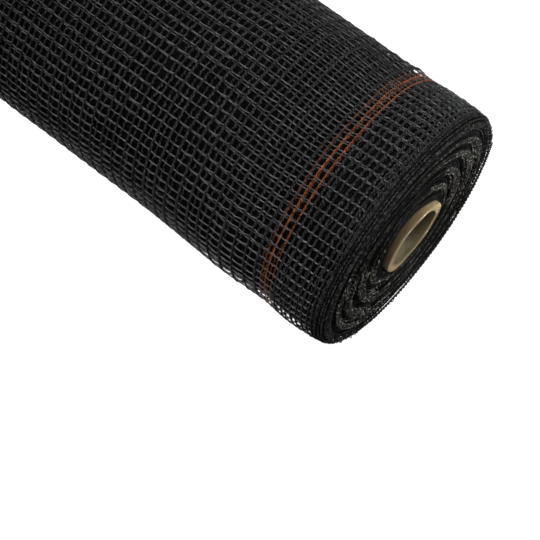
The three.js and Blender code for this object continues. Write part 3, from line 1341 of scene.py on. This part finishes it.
    def fringe_paths(self, end: RollEnd) -> Array:
        """Paths of the loops that stand off the outermost ridge.

        Args:
            end: which end of the roll.

        Returns:
            Points in metres, by loop, then along it.
        """
        fringe = self.fringe
        share = np.linspace(-1.0, 1.0, fringe.points)[None, :]
        arch = 1.0 - share**2
        rim = self.outer_radius - fringe.inset
        count = int(TURN * rim / fringe.pitch)
        angle = TURN * (np.arange(count) + fringe.place.draw(self.random, count)) / count
        low_side = np.clip(0.5 - np.sin(angle), fringe.high_share, 1.0)[:, None]
        half = fringe.half.draw(self.random, (count, 1)) / rim
        off_rim = fringe.off_rim.draw(self.random, (count, 1))
        middle = rim + off_rim - fringe.high_inset * (1.0 - low_side)
        height = self.random.uniform(0.0, 1.0, (count, 1)) ** 2
        height = low_side * (fringe.least + fringe.gain * height)
        turned = angle[:, None] + half * share
        lean = low_side * self.random.normal(0.0, fringe.lean, (count, 1)) * arch
        reach = self.form.faces[end].at(middle, turned) + self.stand_out + height * arch
        x = end.value * (self.form.edge + reach)
        return self.form.points(x, middle + lean, turned, self.lowest)

    def build(self) -> None:
        """Wind the edges on both end faces."""
        edge_painted_light = PAINTED_LIGHT_EDGE_FINISH.material()
        edge_painted_deep_shade = DEEP_SHADE_CHAIN_FINISH.material()
        painted_shade_chain = PAINTED_SHADE_EDGE_FINISH.material()
        shoulder_painted_shade = SHOULDER_PAINTED_SHADE_FINISH.material()
        monofil = EDGE_MONOFIL_FINISH.material()
        shown = len(self.shown_rings)
        for end in RollEnd:
            side = end.name.lower()
            rim, painted_light, painted_shade, grooves = self.turn_paths(end)
            rings = self.shoulder_paths(end)
            # The grooves, the collar, every other turn of the outermost ridge and the dark shoulder rings
            # take the near-black finish: painted shade.
            inner = np.concatenate([grooves, self.collar_paths(end), rim[1::2], rings[shown:]])
            # The shoulder rings that show and every other turn of the outermost ridge take the darker
            # shoulder finish: painted shade.
            shoulder = np.concatenate([rim[0::2], rings[:shown]])
            loops = np.concatenate([self.hatch_paths(end), self.stray_paths(end), self.fringe_paths(end)])
            # Ridges in the sectors painted light take the pale finish; the others take darker finishes as
            # painted shade.
            self.maker.sweep(f"end_rubbed_ridges_{side}", painted_light, PAINTED_LIGHT_RING, edge_painted_light)
            self.maker.sweep(f"end_clean_ridges_{side}", painted_shade[0::2], PAINTED_SHADE_RING, painted_shade_chain)
            self.maker.sweep(f"end_clean_gaps_{side}", painted_shade[1::2], DEEP_RING, edge_painted_deep_shade)
            self.maker.sweep(f"end_shoulder_{side}", shoulder, BUNCHED_RING, shoulder_painted_shade)
            self.maker.sweep(f"end_grooves_{side}", inner, DEEP_RING, edge_painted_deep_shade)
            self.maker.sweep(f"end_loops_{side}", loops, LOOP_STRAND, monofil)


# The turns beneath


@dataclass(frozen=True)
class DeepTurnsFinish:
    """Many layers of black netting seen through the mesh above: faint strands over near-black, painted
    shade for the depth under the mesh.
    """

    axis_y: float
    axis_z: float
    radius: float = 79.0
    chain_pitch: float = 4.3
    weft_pitch: float = 3.3
    dark: str = "#010101"
    faint: str = "#0b0b0b"
    strand_edge: float = 0.55
    relief: float = 0.4
    relief_strength: float = 0.6
    roughness: float = 0.8
    gloss: float = 0.06

    def material(self) -> bpy.types.Material:
        """Make the node material.

        Returns:
            The material, ready for the turns beneath.
        """
        material, tree = new_material("black_netting_deep_turns_painted_shade")
        _, part, angle = roll_coordinates(tree, self.axis_y, self.axis_z)
        chain_wave = add_node(tree, "ShaderNodeMath", {"operation": "MULTIPLY"}, {
            0: part.outputs["X"], 1: TURN / (self.chain_pitch * MM)})
        chain = add_node(tree, "ShaderNodeMath", {"operation": "SINE"}, {0: chain_wave.outputs["Value"]})
        wefts_round = round(TURN * self.radius / self.weft_pitch)
        weft_wave = add_node(tree, "ShaderNodeMath", {"operation": "MULTIPLY"}, {
            0: angle.outputs["Value"], 1: float(wefts_round)})
        weft = add_node(tree, "ShaderNodeMath", {"operation": "SINE"}, {0: weft_wave.outputs["Value"]})
        strand = add_node(tree, "ShaderNodeMath", {"operation": "MAXIMUM"}, {
            0: chain.outputs["Value"], 1: weft.outputs["Value"]})
        shade = add_node(tree, "ShaderNodeMapRange", {}, {
            "Value": strand.outputs["Value"], "From Min": self.strand_edge, "From Max": 1.0})
        colour = add_node(tree, "ShaderNodeMix", {"data_type": "RGBA"}, {
            "Factor": shade.outputs["Result"], "A": linear(self.dark), "B": linear(self.faint)})
        bump = add_node(tree, "ShaderNodeBump", {}, {
            "Height": strand.outputs["Value"], "Strength": self.relief_strength,
            "Distance": self.relief * MM})
        shader = add_node(tree, "ShaderNodeBsdfPrincipled", {}, {
            "Base Color": colour.outputs["Result"], "Normal": bump.outputs["Normal"],
            "Roughness": self.roughness, "Specular IOR Level": self.gloss})
        add_node(tree, "ShaderNodeOutputMaterial", {}, {"Surface": shader.outputs["BSDF"]})
        return material


@dataclass
class DeepTurns:
    """The wound netting under the turns that are knitted out, as one closed form."""

    form: WoundForm
    under_outside: float = 3.1
    under_face: float = 1.1
    clearance: float = 0.3
    face_outer: float = 74.5
    face_rings: int = 44
    # Rings along each half: first, last and number on the shoulder, then those on the body
    shoulder_insets: tuple[float, float, int] = (2.6, 12.0, 7)
    body_start: float = 18.0
    body_rings: int = 42
    columns: int = 132

    def section(self, angle: Array, end: RollEnd) -> list[Array]:
        """Rings of half the form, from the bore over the end face to the middle of the roll.

        Args:
            angle: radians round the roll.
            end: which end of the roll.

        Returns:
            Points in metres, by ring, then by angle.
        """
        rows = []
        inner = self.form.core_radius + self.clearance
        for radius in np.linspace(inner, self.face_outer, self.face_rings):
            reach = self.form.faces[end].at(np.full(angle.shape, radius), angle) - self.under_face
            rows.append(self.form.points(end.value * (self.form.edge + reach), radius, angle))
        body_insets = np.linspace(self.body_start, self.form.edge, self.body_rings)
        for inset in np.concatenate([np.linspace(*self.shoulder_insets), body_insets]):
            x = np.full(angle.shape, end.value * (self.form.edge - inset))
            radius = self.form.outside.at(x, angle) - self.under_outside
            sunk = self.form.slack(x, angle) * (1.0 - self.form.raised_share)
            rows.append(self.form.points(x, radius - sunk, angle))
        return rows

    def build(self) -> None:
        """Make the closed form and let it stand for the wound solid."""
        angle = np.arange(self.columns) * TURN / self.columns
        near = self.section(angle, RollEnd.NEAR)
        far = self.section(angle, RollEnd.FAR)[:-1]
        mesh = ring_mesh("deep_turns", np.stack(near + far[::-1], axis=1))
        mesh.materials.append(DeepTurnsFinish(self.form.axis_y, self.form.axis_z).material())
        piece = place_piece("deep_turns", mesh)
        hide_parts(self.form.netting)


# Paperboard core


@dataclass(frozen=True)
class PaperboardFinish:
    """Spiral-wound kraft paperboard: matt, fibrous, with the seams of its plies.

    Its fibres and plies are drawn as coarse as they need to show.
    """

    axis_y: float
    axis_z: float
    bore_radius: float
    outer_radius: float
    ply_lead: float = 95.0
    ply: float = 0.5
    fibre: float = 0.8
    fibre_height: float = 0.15
    fibre_strength: float = 0.4
    blotch: float = 9.0
    blotch_share: float = 0.5
    seam_width: float = 0.012
    seam_share: float = 0.45
    skin: float = 1.0
    cut_dark: str = "#7c6a4b"
    cut_pale: str = "#9c8b6a"
    # The kraft outside is brown of its own, darkened further as painted shade for its place under the
    # netting.
    kraft_dark: str = "#403521"
    kraft_pale: str = "#665538"
    bore_dark: str = "#716650"
    bore_pale: str = "#94886c"
    burr: str = "#6a614b"
    seam: str = "#4a3c27"
    roughness: float = 0.85
    gloss: float = 0.25

    def board(self, tree: bpy.types.NodeTree, part: bpy.types.Node,
              fibres: bpy.types.NodeSocket) -> bpy.types.NodeSocket:
        """Colour the kraft outside, the greyer bore, and the cut rim with its plies and burr.

        Args:
            tree: the material's tree.
            part: the three parts of the place from the roll's axis.
            fibres: brightness of the fibres.

        Returns:
            The board's colour.
        """
        flat = add_node(tree, "ShaderNodeCombineXYZ", {}, {"Y": part.outputs["Y"], "Z": part.outputs["Z"]})
        radius = add_node(tree, "ShaderNodeVectorMath", {"operation": "LENGTH"}, {
            0: flat.outputs["Vector"]})
        ply_wave = add_node(tree, "ShaderNodeMath", {"operation": "MULTIPLY"}, {
            0: radius.outputs["Value"], 1: TURN / (self.ply * MM)})
        plies = add_node(tree, "ShaderNodeMath", {"operation": "SINE"}, {0: ply_wave.outputs["Value"]})
        ply_share = add_node(tree, "ShaderNodeMapRange", {}, {
            "Value": plies.outputs["Value"], "From Min": -1.0, "From Max": 1.0})
        cut_face = add_node(tree, "ShaderNodeMix", {"data_type": "RGBA"}, {
            "Factor": ply_share.outputs["Result"], "A": linear(self.cut_dark), "B": linear(self.cut_pale)})
        kraft = add_node(tree, "ShaderNodeMix", {"data_type": "RGBA"}, {
            "Factor": fibres, "A": linear(self.kraft_dark), "B": linear(self.kraft_pale)})
        grey_board = add_node(tree, "ShaderNodeMix", {"data_type": "RGBA"}, {
            "Factor": fibres, "A": linear(self.bore_dark), "B": linear(self.bore_pale)})
        off_bore = add_node(tree, "ShaderNodeMapRange", {}, {
            "Value": radius.outputs["Value"], "From Min": (self.bore_radius + self.skin) * MM,
            "From Max": (self.outer_radius - self.skin) * MM})
        # The cut attribute also carries painted light at two opposite caps and painted shade elsewhere on
        # the rim.
        at_mouth = add_node(tree, "ShaderNodeAttribute", {"attribute_name": "cut"})
        on_burr = add_node(tree, "ShaderNodeAttribute", {"attribute_name": "burr"})
        rim = add_node(tree, "ShaderNodeMix", {"data_type": "RGBA"}, {
            "Factor": on_burr.outputs["Fac"], "A": cut_face.outputs["Result"], "B": linear(self.burr)})
        walls = add_node(tree, "ShaderNodeMix", {"data_type": "RGBA"}, {
            "Factor": off_bore.outputs["Result"], "A": grey_board.outputs["Result"],
            "B": kraft.outputs["Result"]})
        return add_node(tree, "ShaderNodeMix", {"data_type": "RGBA"}, {
            "Factor": at_mouth.outputs["Fac"], "A": walls.outputs["Result"],
            "B": rim.outputs["Result"]}).outputs["Result"]

    def seam_shade(self, tree: bpy.types.NodeTree, part: bpy.types.Node,
                   angle: bpy.types.Node) -> bpy.types.NodeSocket:
        """Draw the spiral seam of the outermost ply.

        Args:
            tree: the material's tree.
            part: the three parts of the place from the roll's axis.
            angle: radians round the axis.

        Returns:
            Share of the board's own colour, less at the seam.
        """
        turned = add_node(tree, "ShaderNodeMath", {"operation": "MULTIPLY"}, {
            0: angle.outputs["Value"], 1: 1.0 / TURN})
        along = add_node(tree, "ShaderNodeMath", {"operation": "MULTIPLY_ADD"}, {
            0: part.outputs["X"], 1: 1.0 / (self.ply_lead * MM), 2: turned.outputs["Value"]})
        helix = add_node(tree, "ShaderNodeMath", {"operation": "FRACT"}, {0: along.outputs["Value"]})
        off_seam = add_node(tree, "ShaderNodeMapRange", {}, {
            "Value": helix.outputs["Value"], "From Min": 0.0, "From Max": self.seam_width})
        return add_node(tree, "ShaderNodeMapRange", {}, {
            "Value": off_seam.outputs["Result"], "To Min": self.seam_share,
            "To Max": 1.0}).outputs["Result"]

    def material(self) -> bpy.types.Material:
        """Make the node material.

        Returns:
            The material, ready for the tube.
        """
        material, tree = new_material("spiral_wound_kraft_paperboard")
        centred, part, angle = roll_coordinates(tree, self.axis_y, self.axis_z)
        fibres = add_node(tree, "ShaderNodeTexNoise", {}, {
            "Vector": centred.outputs["Vector"], "Scale": 1.0 / (self.fibre * MM), "Detail": 4.0})
        blotches = add_node(tree, "ShaderNodeTexNoise", {}, {
            "Vector": centred.outputs["Vector"], "Scale": 1.0 / (self.blotch * MM), "Detail": 3.0})
        mottled = add_node(tree, "ShaderNodeMix", {"data_type": "RGBA", "blend_type": "SOFT_LIGHT"}, {
            "Factor": self.blotch_share, "A": self.board(tree, part, fibres.outputs["Fac"]),
            "B": blotches.outputs["Fac"]})
        seamed = add_node(tree, "ShaderNodeMix", {"data_type": "RGBA"}, {
            "Factor": self.seam_shade(tree, part, angle), "A": linear(self.seam),
            "B": mottled.outputs["Result"]})
        bump = add_node(tree, "ShaderNodeBump", {}, {
            "Height": fibres.outputs["Fac"], "Strength": self.fibre_strength,
            "Distance": self.fibre_height * MM})
        shader = add_node(tree, "ShaderNodeBsdfPrincipled", {}, {
            "Base Color": seamed.outputs["Result"], "Normal": bump.outputs["Normal"],
            "Roughness": self.roughness, "Specular IOR Level": self.gloss})
        add_node(tree, "ShaderNodeOutputMaterial", {}, {"Surface": shader.outputs["BSDF"]})
        return material


@dataclass(frozen=True)
class RimRow:
    """A row of points round a rim: its place in the wall, and how far it is cut board or burr."""

    depth: float
    across: float
    cut: float = 0.0
    burr: float = 0.0


@dataclass
class PaperCore:
    """The paperboard winding tube with its cut, slightly crushed rims."""

    form: WoundForm
    wall: float = 5.0
    waver: float = 0.15
    waver_phase: float = 0.7
    slow_wavers: float = 2.0
    quick_wavers: float = 5.0
    proud: float = 0.8
    skew: float = 0.04
    rough: float = 0.08
    worn_depth: float = 2.0
    # The cut rim is painted paler towards two opposite caps, painted light, and darker elsewhere, painted
    # shade.
    cap_painted_light_angle: float = math.radians(30.0)
    cap_painted_light_sharpness: int = 4
    cap_painted_light_share: float = 0.4
    painted_shade_share: float = 0.6
    columns: int = 144
    seed: int = 31
    rows: tuple[RimRow, ...] = (
        RimRow(4.0, 0.0), RimRow(1.6, -0.2), RimRow(0.9, -0.5, 0.2), RimRow(0.4, -0.7, 1.0, 1.0),
        RimRow(0.1, -0.6, 1.0, 1.0), RimRow(0.0, -0.2, 1.0, 1.0), RimRow(0.05, 0.5, 1.0, 0.4),
        RimRow(0.08, 1.2, 1.0), RimRow(0.1, 2.4, 0.8), RimRow(0.1, 3.8, 0.5), RimRow(0.1, 4.6, 0.3),
        RimRow(0.2, 4.9, 0.1), RimRow(0.4, 5.0, 0.02), RimRow(1.5, 5.0, 0.02), RimRow(4.0, 5.0),
    )

    def rim(self, angle: Array, end: RollEnd, random: np.random.Generator) -> list[Array]:
        """Rows over one rim from the bore, over the burr left by the cut, to the outside.

        Args:
            angle: radians round the tube.
            end: which end of the roll.
            random: source of the rim's roughness.

        Returns:
            Points in metres, by row, then by angle.
        """
        slow = np.sin(self.slow_wavers * angle + self.waver_phase)
        waver = self.waver * (slow + np.sin(self.quick_wavers * angle))
        bore_radius = self.form.core_radius - self.wall
        points = []
        for row in self.rows:
            worn = max(0.0, 1.0 - row.depth / self.worn_depth)
            rough = random.normal(0.0, self.rough, len(angle))
            radius = bore_radius + row.across + worn * random.normal(0.0, self.rough, len(angle))
            out_of_square = self.proud + self.skew * radius * np.sin(angle)
            x = self.form.core_end - row.depth + out_of_square + worn * (waver + rough)
            points.append(self.form.points(end.value * x, radius, angle))
        return points

    def build(self) -> None:
        """Make the tube and let it stand for its solid."""
        random = np.random.default_rng(self.seed)
        angle = np.arange(self.columns) * TURN / self.columns
        near = self.rim(angle, RollEnd.NEAR, random)
        far = self.rim(angle, RollEnd.FAR, random)
        mesh = ring_mesh("paper_core", np.stack(near + far[::-1], axis=1))
        both_rims = self.rows + self.rows[::-1]
        cut = np.array([row.cut for row in both_rims])[None, :]
        burr = np.array([row.burr for row in both_rims])[None, :] * np.ones((self.columns, 1))
        # Painted light: the rim's pale colour fills the cut face towards the two caps. Painted shade:
        # elsewhere it is mixed towards the walls' darker colour.
        cap_painted_light = np.cos(angle - self.cap_painted_light_angle)[:, None] ** self.cap_painted_light_sharpness
        kept = cut * (self.painted_shade_share + self.cap_painted_light_share * cap_painted_light)
        cap_painted_light_rows = (cut > 0.0) * (1.0 - cut) * cap_painted_light
        for name, values in {"cut": kept + cap_painted_light_rows, "burr": burr}.items():
            attribute = mesh.attributes.new(name, "FLOAT", "POINT")
            attribute.data.foreach_set("value", values.ravel())
        outer = self.form.core_radius
        finish = PaperboardFinish(self.form.axis_y, self.form.axis_z, outer - self.wall, outer)
        mesh.materials.append(finish.material())
        piece = place_piece("paper_core", mesh)
        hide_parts(self.form.core)


# Floor, light and camera


@dataclass(frozen=True)
class Lamp:
    """A round soft lamp: place, aim and width in metres, power in watts and beam in degrees."""

    name: str
    place: tuple[float, float, float]
    size: float
    power: float
    beam: float = 180.0
    aim: tuple[float, float, float] = (0.48, 0.0, 0.08)


@dataclass
class Studio:
    """Plain pale floor, soft light and the camera at the photograph's angle."""

    form: WoundForm
    # Floor and backdrop, in metres
    floor_half: float = 6.0
    wall_height: float = 3.0
    paper: str = "#6e6e6c"
    paper_roughness: float = 0.9
    paper_gloss: float = 0.1
    paper_glow: float = 0.96
    white: str = "#ffffff"
    # Light
    room_light: float = 0.095
    lamps: tuple[Lamp, ...] = (
        Lamp("key_lamp", (0.75, 0.5, 1.35), size=0.9, power=0.75, beam=48.0),
        Lamp("fill_lamp", (0.42, -0.53, 1.43), size=0.9, power=1.55, beam=40.0),
        Lamp("side_lamp", (-0.1, -1.3, 0.55), size=0.35, power=0.8, beam=60.0),
        Lamp("spot_lamp", (1.6, 0.45, 0.4), size=0.1, power=0.075, beam=9.0, aim=(0.5, 0.055, 0.115)),
        Lamp("end_lamp", (1.6, 0.3, 0.3), size=0.5, power=10.0),
    )
    # Camera, aimed so that the middle of the near end comes out at a pixel of the image
    azimuth: float = math.radians(40.14)
    elevation: float = math.radians(64.12)
    focal_pixels: float = 1442.0
    image_pixels: float = 540.0
    sensor_width: float = 36.0
    distance: float = 842.0
    aim_pixel: tuple[float, float] = (411.9, 235.8)
    aim_inset: float = -1.3

    def make_floor(self) -> None:
        """Lay a floor under the roll and stand a backdrop round it, neither of which lights the roll."""
        half = self.floor_half
        low = [(-half, -half, 0.0), (half, -half, 0.0), (half, half, 0.0), (-half, half, 0.0)]
        high = [(x, y, self.wall_height) for x, y, _ in low]
        corners = len(low)
        ground = tuple(range(corners))
        walls = []
        for corner in ground:
            after = (corner + 1) % corners
            walls.append((corner, after, after + corners, corner + corners))
        # Matt paper scatters light evenly: pale all over, without gloss. Its glow keeps it near white.
        material, tree = new_material("matt_white_paper")
        shader = add_node(tree, "ShaderNodeBsdfPrincipled", {}, {
            "Base Color": linear(self.paper), "Roughness": self.paper_roughness,
            "Specular IOR Level": self.paper_gloss, "Emission Color": linear(self.white),
            "Emission Strength": self.paper_glow})
        add_node(tree, "ShaderNodeOutputMaterial", {}, {"Surface": shader.outputs["BSDF"]})
        for name, faces in (("floor", [ground]), ("backdrop", walls)):
            mesh = bpy.data.meshes.new(name)
            mesh.from_pydata(low + high, [], faces)
            mesh.materials.append(material)
            paper = bpy.data.objects.new(name, mesh)
            paper.visible_diffuse = False
            paper.visible_glossy = False
            paper.visible_shadow = False
            bpy.context.scene.collection.objects.link(paper)

    def make_light(self) -> None:
        """Light the roll from a white room and from soft lamps."""
        world = bpy.data.worlds.new("white_room")
        world.use_nodes = True
        background = world.node_tree.nodes["Background"]
        background.inputs["Color"].default_value = linear(self.white)
        background.inputs["Strength"].default_value = self.room_light
        bpy.context.scene.world = world
        for lamp in self.lamps:
            light = bpy.data.lights.new(lamp.name, "AREA")
            light.shape = "DISK"
            light.size = lamp.size
            light.energy = lamp.power
            light.spread = math.radians(lamp.beam)
            holder = bpy.data.objects.new(lamp.name, light)
            place = Vector(lamp.place)
            holder.location = place
            holder.rotation_euler = (Vector(lamp.aim) - place).to_track_quat("-Z", "Y").to_euler()
            bpy.context.scene.collection.objects.link(holder)

    def make_camera(self) -> None:
        """Put the camera where the photograph was taken from."""
        level = math.cos(self.elevation)
        back = Vector((math.sin(self.azimuth) * level, -math.cos(self.azimuth) * level,
                       math.sin(self.elevation)))
        right = Vector((math.cos(self.azimuth), math.sin(self.azimuth), 0.0))
        up = back.cross(right)
        target = Vector((self.form.edge - self.aim_inset, self.form.axis_y, self.form.axis_z))
        half = self.image_pixels / 2.0
        per_pixel = self.distance / self.focal_pixels
        aside = right * (self.aim_pixel[0] - half) * per_pixel
        above = up * (half - self.aim_pixel[1]) * per_pixel
        camera = bpy.data.cameras.new("camera")
        camera.sensor_width = self.sensor_width
        camera.lens = self.sensor_width * self.focal_pixels / self.image_pixels
        holder = bpy.data.objects.new("camera", camera)
        place = Matrix.Translation((target + back * self.distance - aside - above) * MM)
        holder.matrix_world = place @ Matrix((right, up, back)).transposed().to_4x4()
        bpy.context.scene.collection.objects.link(holder)
        bpy.context.scene.camera = holder

    def build(self) -> None:
        """Set the stage."""
        bpy.context.scene.view_settings.view_transform = "Standard"
        self.make_floor()
        self.make_light()
        self.make_camera()


def main() -> None:
    """Dress the roll and set the stage."""
    logging.basicConfig(level=logging.INFO, format="%(name)s: %(message)s")
    form = WoundForm()
    maker = StrandMaker()
    Studio(form).build()
    PaperCore(form).build()
    DeepTurns(form).build()
    OuterTurns(form, maker).build()
    EndTurns(form, maker).build()


if __name__ == "__main__":
    main()
